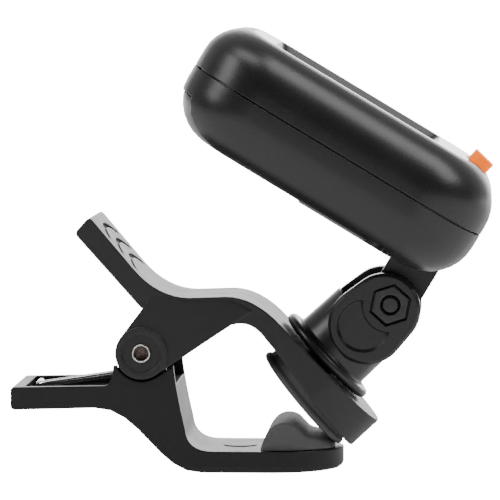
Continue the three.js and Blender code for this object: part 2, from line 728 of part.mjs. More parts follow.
function yoke() {
  return yokeBase()
    .add(yokeEars())
    .subtract(block(-12, 12, -SLOT_HALF, SLOT_HALF, SLOT_FLOOR, 12))
    .subtract(bothSides(crescentRelief))
    .subtract(pin(0, 0, BOLT_BORE, -12, 12))
    .subtract(hexagon(NUT_POCKET_ACROSS, -12, -POCKET_FLOOR))
    .subtract(pin(0, 0, BOLT_HEAD_RADIUS + GAP, POCKET_FLOOR, 12))
    .subtract(post(SWIVEL_OFFSET, 0, SWIVEL_SCREW_RADIUS + GAP, ARM_FACE - 4, -7));
}

function tiltNut() {
  const inner = -POCKET_FLOOR - GAP;
  return hexagon(NUT_ACROSS, inner - NUT_THICKNESS, inner).subtract(
    pin(0, 0, BOLT_RADIUS + 0.15, -12, 0),
  );
}

function tiltBolt() {
  const headStart = POCKET_FLOOR + GAP;
  const headEnd = headStart + BOLT_HEAD_THICKNESS;
  const nutFace = POCKET_FLOOR + GAP + NUT_THICKNESS;
  const pointEnd = -nutFace + 0.1;
  return pin(0, 0, BOLT_RADIUS, pointEnd + BOLT_POINT_LENGTH, headStart + 0.1)
    .add(pin(0, 0, BOLT_POINT_RADIUS, pointEnd, headStart))
    .add(pin(0, 0, BOLT_HEAD_RADIUS, headStart, headEnd))
    .subtract(block(-2, 2, headEnd - 0.9, headEnd + 1, -0.35, 0.35))
    .subtract(block(-0.35, 0.35, headEnd - 0.9, headEnd + 1, -2, 2));
}

function frictionWasher(side) {
  const range = onSide(side, TONGUE_HALF + GAP, TONGUE_HALF + GAP + FRICTION_WASHER);
  return pin(0, 0, FRICTION_WASHER_RADIUS, ...range).subtract(pin(0, 0, BOLT_BORE, -12, 12));
}

const SPIGOT_END = ARM_FACE - WALL - 0.1;

function swivelWasher() {
  const top = SPIGOT_END - GAP;
  return post(SWIVEL_OFFSET, 0, SWIVEL_WASHER_RADIUS, top - 0.6, top).subtract(
    post(SWIVEL_OFFSET, 0, SWIVEL_SCREW_RADIUS + GAP, -30, 0),
  );
}

function swivelScrew() {
  const headTop = SPIGOT_END - GAP - 0.6 - GAP;
  return post(SWIVEL_OFFSET, 0, SWIVEL_SCREW_RADIUS, headTop - 0.1, -7.6)
    .add(post(SWIVEL_OFFSET, 0, SWIVEL_HEAD_RADIUS, headTop - 1.2, headTop));
}

// ---- Head shells, in the head's own frame ----
function roundingInset(height, radius) {
  if (height <= 0) return 0;
  return radius - Math.sqrt(Math.max(radius * radius - height * height, 0));
}

function caseRing(low, high, half, corner, height) {
  const ring = [];
  const steps = 7;
  const centres = [
    [high - corner, -half + corner, -Math.PI / 2],
    [high - corner, half - corner, 0],
    [low + corner, half - corner, Math.PI / 2],
    [low + corner, -half + corner, Math.PI],
  ];
  for (const [x, y, startAngle] of centres) {
    for (let i = 0; i <= steps; i += 1) {
      const angle = startAngle + (i * Math.PI) / (2 * steps);
      ring.push(new THREE.Vector3(x + corner * Math.cos(angle), y + corner * Math.sin(angle), height));
    }
  }
  return ring;
}

// A closed skin through rings of the same number of points, with flat ends.
function skinned(rings) {
  const count = rings[0].length;
  const positions = rings.flat().flatMap((point) => [point.x, point.y, point.z]);
  const index = [];
  for (let row = 0; row + 1 < rings.length; row += 1) {
    for (let i = 0; i < count; i += 1) {
      const a = row * count + i;
      const b = row * count + ((i + 1) % count);
      index.push(a, b, b + count, a, b + count, a + count);
    }
  }
  const lastRow = (rings.length - 1) * count;
  for (let i = 1; i + 1 < count; i += 1) {
    index.push(0, i + 1, i);
    index.push(lastRow, lastRow + i, lastRow + i + 1);
  }
  const geometry = new THREE.BufferGeometry();
  geometry.setAttribute("position", new THREE.Float32BufferAttribute(positions, 3));
  geometry.setIndex(index);
  return solidOf(geometry);
}

// The pillow-shaped body of the head, drawn in by the same amount on every side.
function caseBody(drawnIn) {
  const edge = HEAD_EDGE - drawnIn;
  const farEdge = HEAD_FAR_EDGE - drawnIn;
  const frontStart = FRONT_FACE - HEAD_EDGE * FRONT_EDGE_STOP;
  const farStart = FRONT_FACE - HEAD_FAR_EDGE * FRONT_EDGE_STOP;
  const backStart = BACK_FACE + HEAD_EDGE;
  const rings = [];
  const ringAt = (height, front) => {
    const rise = front ? height - frontStart : backStart - height;
    const side = roundingInset(rise, edge) + drawnIn;
    const far = front ? roundingInset(height - farStart, farEdge) + drawnIn : side;
    rings.push(
      caseRing(
        -HEAD_LENGTH / 2 + far,
        HEAD_LENGTH / 2 - side,
        HEAD_WIDTH / 2 - side,
        HEAD_CORNER - side * 0.9,
        height,
      ),
    );
  };
  for (let row = HEAD_ROWS; row > 0; row -= 1) {
    ringAt(backStart - edge * Math.sin((row * Math.PI) / (2 * HEAD_ROWS)), false);
  }
  ringAt(backStart, false);
  ringAt(frontStart, true);
  for (let row = 1; row <= HEAD_ROWS; row += 1) {
    ringAt(frontStart + edge * Math.sin((row * Math.asin(FRONT_EDGE_STOP)) / HEAD_ROWS), true);
  }
  return skinned(rings);
}

const BIG = 60;

function band(from, to) {
  return block(-BIG, BIG, -BIG, BIG, from, to);
}

function windowHole() {
  const half = WINDOW_WIDTH / 2;
  const seat = WINDOW_CHAMFER;
  const hole = plate(
    roundedRectangle(WINDOW_START + seat, WINDOW_END - seat, -half + seat, half - seat, WINDOW_CORNER - 1),
    0,
    FRONT_FACE + 1,
  );
  const top = FRONT_FACE + 0.2;
  const flare = (seat * (top - FRONT_FACE)) / LENS_DEPTH;
  const rim = skinned([
    caseRing(WINDOW_START + seat, WINDOW_END - seat, half - seat, WINDOW_CORNER - 1, FRONT_FACE - LENS_DEPTH),
    caseRing(WINDOW_START - flare, WINDOW_END + flare, half + flare, WINDOW_CORNER + flare, top),
  ]);
  return hole.add(rim);
}

function pill(length, width, from, to) {
  return plate(roundedRectangle(-length / 2, length / 2, -width / 2, width / 2, length / 2 - 0.1), from, to);
}

const buttonFrame = new THREE.Matrix4()
  .makeTranslation(BUTTON_X, 0, BUTTON_Z)
  .multiply(new THREE.Matrix4().makeRotationY(BUTTON_LEAN));

function caseScrewPlaces() {
  return [CASE_SCREW_Y, -CASE_SCREW_Y];
}

function frontShell() {
  const skin = caseBody(0).subtract(caseBody(HEAD_WALL));
  const lip = caseBody(1.2).subtract(caseBody(HEAD_WALL)).intersect(band(PARTING - LIP_HEIGHT, PARTING + 1));
  let shell = skin.intersect(band(PARTING + GAP / 2, 20)).add(lip);
  for (const y of caseScrewPlaces()) {
    shell = shell.add(post(CASE_SCREW_X, y, 2.2, PARTING - 4, FRONT_FACE, 24).intersect(caseBody(0.5)));
    shell = shell.subtract(post(CASE_SCREW_X, y, 1.1, PARTING - 5, 4, 24));
  }
  const hole = pill(BUTTON_LENGTH + 2 * GAP, BUTTON_WIDTH + 2 * GAP, -4, 4);
  return shell.subtract(windowHole()).subtract(moved(hole, buttonFrame));
}

function doorRegion(clearance) {
  const start = -HEAD_LENGTH / 2 - 1;
  const shape = roundedRectangle(
    start,
    -HEAD_LENGTH / 2 + DOOR_LENGTH - clearance,
    -DOOR_WIDTH / 2 + clearance,
    DOOR_WIDTH / 2 - clearance,
    0.8,
  );
  return plate(shape, -20, DOOR_EDGE - clearance);
}

function rearShell() {
  const hingeX = -HEAD_FROM_HINGE_X;
  const hingeZ = -HEAD_FROM_HINGE_Z;
  const tongueTop = BACK_FACE + HEAD_WALL + 0.9;
  const tongue = new THREE.Shape();
  tongue.moveTo(hingeX + TONGUE_RADIUS, tongueTop);
  tongue.lineTo(hingeX - TONGUE_RADIUS, tongueTop);
  tongue.lineTo(hingeX - TONGUE_RADIUS, hingeZ);
  tongue.absarc(hingeX, hingeZ, TONGUE_RADIUS, Math.PI, 2 * Math.PI);
  let shell = caseBody(0)
    .subtract(caseBody(HEAD_WALL))
    .intersect(band(-20, PARTING - GAP / 2))
    .subtract(caseBody(0.9).intersect(band(PARTING - LIP_HEIGHT - GAP, 20)))
    .subtract(doorRegion(0))
    .add(slab(tongue, -TONGUE_HALF, TONGUE_HALF))
    .subtract(pin(hingeX, hingeZ, BOLT_BORE, -9, 9));
  for (const y of caseScrewPlaces()) {
    shell = shell.add(post(CASE_SCREW_X, y, 3, BACK_FACE + 1, PARTING - 4 - GAP, 24).intersect(caseBody(0.1)));
    shell = shell.subtract(post(CASE_SCREW_X, y, 2.1, BACK_FACE - 1, PARTING - 6.5, 24));
    shell = shell.subtract(post(CASE_SCREW_X, y, 1.1, BACK_FACE - 1, 2, 24));
  }
  return shell;
}

function batteryDoor() {
  return caseBody(DOOR_SINK).subtract(caseBody(HEAD_WALL)).intersect(doorRegion(0.2));
}

function displayLens() {
  const half = WINDOW_WIDTH / 2;
  const inset = WINDOW_CHAMFER + 0.2;
  const top = FRONT_FACE - LENS_DEPTH;
  const shape = roundedRectangle(
    WINDOW_START + inset,
    WINDOW_END - inset,
    -half + inset,
    half - inset,
    WINDOW_CORNER - 1.2,
  );
  return plate(shape, top - LENS_THICKNESS, top);
}

function powerButton() {
  const flange = -HEAD_WALL - 0.8;
  const thickness = 0.6;
  const stem = pill(BUTTON_LENGTH, BUTTON_WIDTH, -2, BUTTON_RISE);
  const waist = pill(BUTTON_LENGTH - 0.6, BUTTON_WIDTH - 0.6, flange - 0.2, -1.8);
  return stem.add(waist).add(pill(BUTTON_LENGTH + 1.6, BUTTON_WIDTH + 1.6, flange - thickness, flange));
}

const WINDOW_MIDDLE = (WINDOW_START + WINDOW_END) / 2;

function displayPanel() {
  return block(WINDOW_MIDDLE - 16.5, WINDOW_MIDDLE + 16.5, -13.5, 13.5, 5.4, 7.4);
}

function backLight() {
  return block(WINDOW_MIDDLE - 16, WINDOW_MIDDLE + 16, -13, 13, 3.3, 5.1);
}

function circuitBoard() {
  return plate(roundedRectangle(-21, 23, -13.5, 13.5, 2), 1.8, 3);
}

function chip() {
  return block(4, 11, -3.5, 3.5, 0.4, 1.5);
}

function tactSwitch() {
  return block(18.7, 22.7, -2, 2, 3.3, 4.9).add(post(20.7, 0, 0.9, 4.5, 5.6, 20));
}

function coinCell() {
  const bottom = BACK_FACE + HEAD_WALL + 0.8;
  const top = bottom + CELL_THICKNESS;
  const blunt = 0.3;
  return turned(
    [
      [0, bottom],
      [CELL_RADIUS - 1.4, bottom],
      [CELL_RADIUS - 1.3, bottom + blunt],
      [CELL_RADIUS - blunt, bottom + blunt],
      [CELL_RADIUS, bottom + 2 * blunt],
      [CELL_RADIUS, top - blunt],
      [CELL_RADIUS - blunt, top],
      [0, top],
    ],
    CELL_X,
  );
}

function negativeContact() {
  return block(CELL_X - 6, CELL_X + 6, -2, 2, -3.2, -2.9).add(block(CELL_X + 5.7, CELL_X + 6, -2, 2, -3.2, 1.5));
}

function positiveContact() {
  const y = CELL_RADIUS + GAP;
  return block(CELL_X - 3, CELL_X + 3, y, y + 0.4, -7, 1.5);
}

function piezoDisc() {
  return post(7, 0, 6, BACK_FACE + HEAD_WALL + GAP, BACK_FACE + HEAD_WALL + GAP + 0.4);
}

function caseScrew(y) {
  const seat = PARTING - 6.5;
  return post(CASE_SCREW_X, y, 1.8, seat - 1.5, seat - GAP, 24).add(
    post(CASE_SCREW_X, y, 0.8, seat - 0.5, 2.5, 20),
  );
}

// ---- Assembly ----
function group(name, x, z, lean, children) {
  const holder = new THREE.Group();
  holder.name = name;
  holder.position.set(x, 0, z);
  holder.rotation.y = lean;
  holder.add(...children);
  return holder;
}

const clip = [
  part("lower_arm", lowerArm(), blackPlastic()),
  part("lower_pad", lowerPad(), greyRubber()),
  part("pivot_rivet", pivotRivet(), brightSteel()),
  part("torsion_spring", torsionSpring(), brightSteel()),
  part("upper_arm", upperArm(), blackPlastic()),
];

const swivel = group("swivel_frame", HINGE_X, HINGE_Z, SWIVEL_LEAN, [
  part("upper_pad", upperPad(), greyRubber()),
  part("yoke", yoke(), blackPlastic()),
  part("swivel_washer", swivelWasher(), brightSteel()),
  part("swivel_screw", swivelScrew(), brightSteel()),
  part("tilt_nut", tiltNut(), blackSteel()),
  part("tilt_bolt", tiltBolt(), blackSteel()),
  part("friction_washer_near", frictionWasher(-1), nylon()),
  part("friction_washer_far", frictionWasher(1), nylon()),
]);

const button = part("power_button", powerButton(), orangePlastic());
button.applyMatrix4(buttonFrame);

const headCase = group("case_frame", HEAD_FROM_HINGE_X, HEAD_FROM_HINGE_Z, 0, [
  part("rear_shell", rearShell(), blackPlastic()),
  part("front_shell", frontShell(), blackPlastic()),
  part("battery_door", batteryDoor(), blackPlastic()),
  part("display_lens", displayLens(), glossyLens()),
  part("display_panel", displayPanel(), displayGlass()),
  part("backlight", backLight(), diffuser()),
  part("circuit_board", circuitBoard(), boardGreen()),
  part("chip", chip(), chipEpoxy()),
  part("tact_switch", tactSwitch(), chipEpoxy()),
  part("coin_cell", coinCell(), brightSteel()),
  part("contact_negative", negativeContact(), brass()),
  part("contact_positive", positiveContact(), brass()),
  part("piezo_disc", piezoDisc(), brass()),
  part("case_screw_near", caseScrew(-CASE_SCREW_Y), blackSteel()),
  part("case_screw_far", caseScrew(CASE_SCREW_Y), blackSteel()),
  button,
]);

const head = group("head_frame", HINGE_X, HINGE_Z, HEAD_LEAN, [headCase]);

const tuner = new THREE.Group();
tuner.name = "clip_on_tuner";
tuner.add(...clip, swivel, head);
export default tuner;
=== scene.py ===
"""Looks of the clip-on tuner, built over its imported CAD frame. Metres."""

import json
import math

import bmesh
import bpy
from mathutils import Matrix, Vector


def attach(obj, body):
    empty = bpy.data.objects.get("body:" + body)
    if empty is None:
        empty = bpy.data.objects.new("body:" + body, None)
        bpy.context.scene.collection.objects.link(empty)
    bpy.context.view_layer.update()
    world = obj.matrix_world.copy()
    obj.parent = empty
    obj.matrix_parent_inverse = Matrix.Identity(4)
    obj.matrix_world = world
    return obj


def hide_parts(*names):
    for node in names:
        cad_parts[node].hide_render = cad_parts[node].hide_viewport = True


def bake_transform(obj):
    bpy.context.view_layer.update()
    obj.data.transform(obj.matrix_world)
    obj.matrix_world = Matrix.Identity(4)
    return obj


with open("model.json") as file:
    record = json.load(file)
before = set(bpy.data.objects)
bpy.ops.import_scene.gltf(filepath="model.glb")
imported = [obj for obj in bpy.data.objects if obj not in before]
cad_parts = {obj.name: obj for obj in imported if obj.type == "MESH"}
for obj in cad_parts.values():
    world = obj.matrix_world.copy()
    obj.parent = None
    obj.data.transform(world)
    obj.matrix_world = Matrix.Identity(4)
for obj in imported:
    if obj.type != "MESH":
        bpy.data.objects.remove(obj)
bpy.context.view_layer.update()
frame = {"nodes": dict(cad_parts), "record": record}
MM = 0.001

# ---- Camera ----
AIM = Vector((-7.1, 0, 35.9)) * MM
CAMERA_DISTANCE = 0.72
CAMERA_AZIMUTH = math.radians(3.1)
CAMERA_ELEVATION = math.radians(3.55)
CAMERA_LENS = 313.2
SENSOR_WIDTH = 36
CAMERA_REACH = (0.01, 50)


def make_camera():
    data = bpy.data.cameras.new("camera")
    data.lens = CAMERA_LENS
    data.sensor_width = SENSOR_WIDTH
    data.clip_start, data.clip_end = CAMERA_REACH
    camera = bpy.data.objects.new("camera", data)
    bpy.context.scene.collection.objects.link(camera)
    flat = math.cos(CAMERA_ELEVATION)
    back = Vector(
        (
            math.sin(CAMERA_AZIMUTH) * flat,
            -math.cos(CAMERA_AZIMUTH) * flat,
            math.sin(CAMERA_ELEVATION),
        )
    )
    camera.location = AIM + back * CAMERA_DISTANCE
    camera.rotation_mode = "QUATERNION"
    camera.rotation_quaternion = (-back).to_track_quat("-Z", "Y")
    bpy.context.scene.camera = camera


# ---- Light ----
SEEN_WHITE = 17.0  # how white the wall and floor look to the camera
WALL_BRIGHT = 4.2  # straight behind the object
TENT_BRIGHT = 0.75  # the back half of the room
ROOM_DARK = 0.026  # the room in front
WALL_EDGE = (0.8, 0.99)  # how far round, as the Y of a direction, the wall fades in
TENT_EDGE = (-0.2, 0.8)
FLOOR_NEAR = 0.24  # glow of the floor round the object
FLOOR_FAR = 3.0  # and toward the wall
FLOOR_FADE = (0.1, 0.8)
FLOOR_HALF = 3
FLOOR_DROP = 0.0002
FLOOR_SEEN_WHITE = 0.97  # share of the floor that the camera sees as plain white
LIGHT_AIM = (0, 0, 0.05)


def softbox(name, place, width, height, power):
    light = bpy.data.lights.new(name, "AREA")
    light.shape = "RECTANGLE"
    light.size = width
    light.size_y = height
    light.energy = power
    holder = bpy.data.objects.new(name, light)
    bpy.context.scene.collection.objects.link(holder)
    holder.location = place
    direction = Vector(LIGHT_AIM) - Vector(place)
    holder.rotation_mode = "QUATERNION"
    holder.rotation_quaternion = direction.to_track_quat("-Z", "Y")


def shade(nodes, strength):
    background = nodes.new("ShaderNodeBackground")
    background.inputs["Color"].default_value = (1, 1, 1, 1)
    background.inputs["Strength"].default_value = strength
    return background


def make_world():
    """A white wall behind the object and a dark room in front of it."""
    world = bpy.data.worlds.new("studio")
    bpy.context.scene.world = world
    world.use_nodes = True
    nodes = world.node_tree.nodes
    links = world.node_tree.links
    nodes.clear()
    out = nodes.new("ShaderNodeOutputWorld")
    coords = nodes.new("ShaderNodeTexCoord")
    split = nodes.new("ShaderNodeSeparateXYZ")
    wall = nodes.new("ShaderNodeMapRange")
    wall.interpolation_type = "SMOOTHSTEP"
    wall.inputs["From Min"].default_value = WALL_EDGE[0]
    wall.inputs["From Max"].default_value = WALL_EDGE[1]
    wall.inputs["To Max"].default_value = WALL_BRIGHT
    tent = nodes.new("ShaderNodeMapRange")
    tent.interpolation_type = "SMOOTHSTEP"
    tent.inputs["From Min"].default_value = TENT_EDGE[0]
    tent.inputs["From Max"].default_value = TENT_EDGE[1]
    tent.inputs["To Min"].default_value = ROOM_DARK
    tent.inputs["To Max"].default_value = TENT_BRIGHT
    both = nodes.new("ShaderNodeMath")
    both.operation = "ADD"
    around = shade(nodes, 1)
    seen = shade(nodes, SEEN_WHITE)
    path = nodes.new("ShaderNodeLightPath")
    mix = nodes.new("ShaderNodeMixShader")
    links.new(coords.outputs["Generated"], split.inputs[0])
    links.new(split.outputs["Y"], wall.inputs["Value"])
    links.new(split.outputs["Y"], tent.inputs["Value"])
    links.new(wall.outputs[0], both.inputs[0])
    links.new(tent.outputs[0], both.inputs[1])
    links.new(both.outputs[0], around.inputs["Strength"])
    links.new(path.outputs["Is Camera Ray"], mix.inputs[0])
    links.new(around.outputs[0], mix.inputs[1])
    links.new(seen.outputs[0], mix.inputs[2])
    links.new(mix.outputs[0], out.inputs["Surface"])


def make_floor():
    mesh = bpy.data.meshes.new("floor")
    half = FLOOR_HALF
    mesh.from_pydata(
        [(-half, -half, 0), (half, -half, 0), (half, half, 0), (-half, half, 0)], [], [(0, 1, 2, 3)]
    )
    floor = bpy.data.objects.new("floor", mesh)
    floor.location.z = -FLOOR_DROP
    bpy.context.scene.collection.objects.link(floor)
    material, nodes, links = new_material("floor_white")
    shader = nodes["Principled BSDF"]
    shader.inputs["Base Color"].default_value = (0.8, 0.8, 0.8, 1)
    shader.inputs["Roughness"].default_value = 0.9
    shader.inputs["Emission Color"].default_value = (1, 1, 1, 1)
    coords = nodes.new("ShaderNodeTexCoord")
    split = nodes.new("ShaderNodeSeparateXYZ")
    reach = nodes.new("ShaderNodeMapRange")
    reach.inputs["From Min"].default_value = FLOOR_FADE[0]
    reach.inputs["From Max"].default_value = FLOOR_FADE[1]
    reach.inputs["To Min"].default_value = FLOOR_NEAR
    reach.inputs["To Max"].default_value = FLOOR_FAR
    links.new(coords.outputs["Object"], split.inputs[0])
    links.new(split.outputs["Y"], reach.inputs["Value"])
    links.new(reach.outputs[0], shader.inputs["Emission Strength"])
    glow = nodes.new("ShaderNodeEmission")
    glow.inputs["Strength"].default_value = SEEN_WHITE
    path = nodes.new("ShaderNodeLightPath")
    share = nodes.new("ShaderNodeMath")
    share.operation = "MULTIPLY"
    share.inputs[1].default_value = FLOOR_SEEN_WHITE
    mix = nodes.new("ShaderNodeMixShader")
    links.new(path.outputs["Is Camera Ray"], share.inputs[0])
    links.new(share.outputs[0], mix.inputs[0])
    links.new(shader.outputs[0], mix.inputs[1])
    links.new(glow.outputs[0], mix.inputs[2])
    links.new(mix.outputs[0], nodes["Material Output"].inputs["Surface"])
    mesh.materials.append(material)


# ---- Materials ----
CLOUD_MM = 6  # size of the slow changes in sheen and colour
CLOUD_TINT = 0.12  # how far the colour drifts either way


def new_material(name):
    material = bpy.data.materials.new(name)
    material.use_nodes = True
    return material, material.node_tree.nodes, material.node_tree.links


def grained(
    name,
    colour,
    roughness,
    grain_mm,
    grain_depth_mm,
    metallic=0.0,
    spread=0.06,
    edge_mm=0.15,
    glow=0.0,
    shine=0.5,
):
    """A moulded or finished surface: fine grain in relief and slow changes in sheen."""
    material, nodes, links = new_material(name)
    shader = nodes["Principled BSDF"]
    shader.inputs["Metallic"].default_value = metallic
    shader.inputs["Specular IOR Level"].default_value = shine
    # glow lets a surface emit its own colour: painted light, used for the orange button, which is no lamp
    shader.inputs["Emission Color"].default_value = (*colour, 1)
    shader.inputs["Emission Strength"].default_value = glow
    rounded = nodes.new("ShaderNodeBevel")
    rounded.samples = 8
    rounded.inputs["Radius"].default_value = edge_mm * MM
    coords = nodes.new("ShaderNodeTexCoord")
    grain = nodes.new("ShaderNodeTexNoise")
    grain.inputs["Scale"].default_value = 1 / (grain_mm * MM)
    grain.inputs["Detail"].default_value = 3
    bump = nodes.new("ShaderNodeBump")
    bump.inputs["Strength"].default_value = 1
    bump.inputs["Distance"].default_value = grain_depth_mm * MM
    clouds = nodes.new("ShaderNodeTexNoise")
    clouds.inputs["Scale"].default_value = 1 / (CLOUD_MM * MM)
    clouds.inputs["Detail"].default_value = 4
    sheen = nodes.new("ShaderNodeMapRange")
    sheen.inputs["To Min"].default_value = roughness - spread
    sheen.inputs["To Max"].default_value = roughness + spread
    tint = nodes.new("ShaderNodeMix")
    tint.data_type = "RGBA"
    tint.inputs["A"].default_value = (*[c * (1 - CLOUD_TINT) for c in colour], 1)
    tint.inputs["B"].default_value = (*[min(c * (1 + CLOUD_TINT), 1) for c in colour], 1)
    links.new(coords.outputs["Object"], grain.inputs["Vector"])
    links.new(coords.outputs["Object"], clouds.inputs["Vector"])
    links.new(rounded.outputs["Normal"], bump.inputs["Normal"])
    links.new(grain.outputs["Fac"], bump.inputs["Height"])
    links.new(bump.outputs["Normal"], shader.inputs["Normal"])
    links.new(clouds.outputs["Fac"], sheen.inputs["Value"])
    links.new(sheen.outputs[0], shader.inputs["Roughness"])
    links.new(clouds.outputs["Fac"], tint.inputs["Factor"])
    links.new(tint.outputs["Result"], shader.inputs["Base Color"])
    return material


def make_materials():
    return {
        # The next two are one black plastic in two copies. The first, on the lower arm and the other plain
        # black parts, is darker and less shiny: painted shade. The second, on the upper arm, is lighter and
        # shinier: painted light. The difference stands in for how the sides of the two arms face the
        # lights.
        "black_plastic": grained(
            "satin_black_plastic_painted_darker", (0.008, 0.008, 0.0083), 0.42, 0.22, 0.01, edge_mm=0.4, shine=0.35
        ),
        "upper_plastic_painted_lighter": grained(
            "upper_black_plastic_painted_lighter", (0.014, 0.014, 0.0144), 0.42, 0.22, 0.01, edge_mm=0.4, shine=0.45
        ),
        "swivel_plastic": grained("swivel_plastic", (0.015, 0.015, 0.0155), 0.32, 0.22, 0.01, edge_mm=0.22),
        "head_plastic": grained(
            "head_black_plastic", (0.01, 0.01, 0.0106), 0.33, 0.3, 0.012, edge_mm=0.2, spread=0.04
        ),
        "grey_rubber": grained("matt_grey_rubber", (0.075, 0.075, 0.076), 0.68, 0.3, 0.015, edge_mm=0.3),
        "rivet_bore": grained("tarnished_bore", (0.16, 0.12, 0.1), 0.4, 0.5, 0.3, metallic=0.5, spread=0.2),
        "bright_steel": grained("bright_steel", (0.62, 0.61, 0.6), 0.24, 0.1, 0.002, metallic=1.0),
        "black_steel": grained("black_oxide_steel", (0.03, 0.03, 0.031), 0.42, 0.15, 0.006, edge_mm=0.2),
        "nylon": grained("nylon", (0.6, 0.58, 0.52), 0.5, 0.3, 0.004),
        "display_lens": grained("smoked_lens", (0.008, 0.009, 0.011), 0.06, 2.0, 0.0005, spread=0.02),
        "display_glass": grained("display_glass", (0.03, 0.035, 0.04), 0.15, 2.0, 0.0005),
        "light_diffuser": grained("milky_diffuser", (0.7, 0.71, 0.72), 0.5, 0.4, 0.004),
        "board_laminate": grained("green_laminate", (0.02, 0.13, 0.05), 0.45, 0.5, 0.01),
        "chip_epoxy": grained("black_epoxy", (0.012, 0.012, 0.012), 0.5, 0.1, 0.004),
        "brass": grained("contact_brass", (0.7, 0.52, 0.24), 0.3, 0.2, 0.002, metallic=1.0),
        # The orange button glows in its own colour: painted light, though it is no lamp.
        "orange_plastic": grained(
            "orange_plastic", (1.0, 0.16, 0.0), 0.5, 0.3, 0.004, edge_mm=0.4, glow=1.0, shine=0.1
        ),
        # Lighter grey for the far side of the window's chamfer: a painted highlight, standing in for the
        # light that side catches.
        "window_chamfer_painted_light": grained("window_chamfer_painted_light", (0.085, 0.085, 0.087), 0.5, 0.3, 0.012, edge_mm=0.1),
        "bezel_gloss": grained(
            "bezel_gloss", (0.02, 0.02, 0.021), 0.16, 0.5, 0.002, edge_mm=0.2, spread=0.03
        ),
    }


# ---- CAD nodes that stay ----
WELD_MM = 0.002
FLAT_ANGLE = math.radians(0.6)
BEVEL_ANGLE = math.radians(32)
CREASE_ANGLE = math.radians(38)
BEVEL_SEGMENTS = 3


def soften(node, width_mm):
    """Shades a CAD node smoothly, and rounds its sharp edges where a width is given."""
    for polygon in node.data.polygons:
        polygon.use_smooth = True
    weld = node.modifiers.new("weld", "WELD")
    weld.merge_threshold = WELD_MM * MM
    flat = node.modifiers.new("flat", "DECIMATE")
    flat.decimate_type = "DISSOLVE"
    flat.angle_limit = FLAT_ANGLE
    if width_mm:
        bevel = node.modifiers.new("edges", "BEVEL")
        bevel.width = width_mm * MM
        bevel.segments = BEVEL_SEGMENTS
        bevel.limit_method = "ANGLE"
        bevel.angle_limit = BEVEL_ANGLE
        bevel.miter_outer = "MITER_ARC"
    split = node.modifiers.new("creases", "EDGE_SPLIT")
    split.split_angle = CREASE_ANGLE
    weighted = node.modifiers.new("normals", "WEIGHTED_NORMAL")
    weighted.keep_sharp = True


HEAD_TURN = math.radians(31)
HEAD_NORMAL = Vector((math.sin(HEAD_TURN), 0, math.cos(HEAD_TURN)))
BEZEL_END_HALF = 13.5
BEZEL_FACING = 0.99  # a flat of the front face, as the cosine to the head's normal
RIM_FACING = (0.69, 0.72)  # the window's chamfer
PAINTED_LIGHT_SIDE = -0.6  # the side of the chamfer that faces the front of the object, painted lighter as a painted highlight
EDGE_MM = {
    "front_shell": 0.12,
    "rear_shell": 0.12,
    "battery_door": 0.12,
    "power_button": 0.5,
    "tilt_nut": 0.2,
    "tilt_bolt": 0.15,
}
OWN_MATERIAL = {
    "front_shell": "head_plastic",
    "rear_shell": "head_plastic",
    "battery_door": "head_plastic",
    # the upper arm takes the lighter copy of the black plastic: painted light
    "upper_arm": "upper_plastic_painted_lighter",
    "yoke": "swivel_plastic",
}


def dress_nodes(materials):
    slots = {s["node"]: s["material_slot"] for s in frame["record"]["subparts"]}
    for name, node in frame["nodes"].items():
        node.data.materials.clear()
        node.data.materials.append(materials[OWN_MATERIAL.get(name, slots[name])])
        soften(node, EDGE_MM.get(name, 0))
    dress_front(frame["nodes"]["front_shell"].data, materials)


def dress_front(mesh, materials):
    """Gloss on the flats at both ends of the window, and a painted highlight: the far side of its chamfer
    painted lighter grey, standing in for the light it catches.
    """
    mesh.materials.append(materials["bezel_gloss"])
    mesh.materials.append(materials["window_chamfer_painted_light"])
    for polygon in mesh.polygons:
        facing = polygon.normal.dot(HEAD_NORMAL)
        chamfer = RIM_FACING[0] < facing < RIM_FACING[1]
        if facing > BEZEL_FACING and abs(polygon.center.y) < BEZEL_END_HALF * MM:
            polygon.material_index = 1
        # painted highlight: the far, front-facing side of the chamfer takes the lighter grey
        elif chamfer and polygon.normal.y < PAINTED_LIGHT_SIDE and polygon.center.y > 0:
            polygon.material_index = 2


# ---- Pieces made here ----
def mesh_piece(name, points_mm, faces, materials, body, node):
    """A smooth closed mesh given in millimetres, standing for one CAD node."""
    mesh = bpy.data.meshes.new(name)
    mesh.from_pydata([Vector(p) * MM for p in points_mm], [], faces)
    made = bmesh.new()
    made.from_mesh(mesh)
    bmesh.ops.recalc_face_normals(made, faces=made.faces)
    made.to_mesh(mesh)
    made.free()
    for polygon in mesh.polygons:
        polygon.use_smooth = True
    for material in materials:
        mesh.materials.append(material)
    piece = bpy.data.objects.new(name, mesh)
    bpy.context.scene.collection.objects.link(piece)
    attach(piece, body)
    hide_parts(node)
    return piece


def ring_faces(rows, count):
    faces = []
    for row in range(rows - 1):
        for i in range(count):
            a = row * count + i
            b = row * count + (i + 1) % count
            faces.append((a, b, b + count, a + count))
    return faces


def end_faces(rows, count):
    return [tuple(range(count)), tuple(range((rows - 1) * count, rows * count))]


def between(a, b, c, d, t):
    """A Catmull-Rom value from b to c, with a and d as their neighbours."""
    curve = 2 * a - 5 * b + 4 * c - d
    return 0.5 * (2 * b + (c - a) * t + curve * t**2 + (3 * b - a - 3 * c + d) * t**3)


def smooth_line(points, steps):
    """A smooth line through 2-D points, with the first and last doubled."""
    padded = [points[0], *points, points[-1]]
    line = []
    for p0, p1, p2, p3 in zip(padded, padded[1:], padded[2:], padded[3:]):
        for step in range(steps):
            t = step / steps
            line.append(tuple(between(a, b, c, d, t) for a, b, c, d in zip(p0, p1, p2, p3)))
    line.append(tuple(points[-1]))
    return line


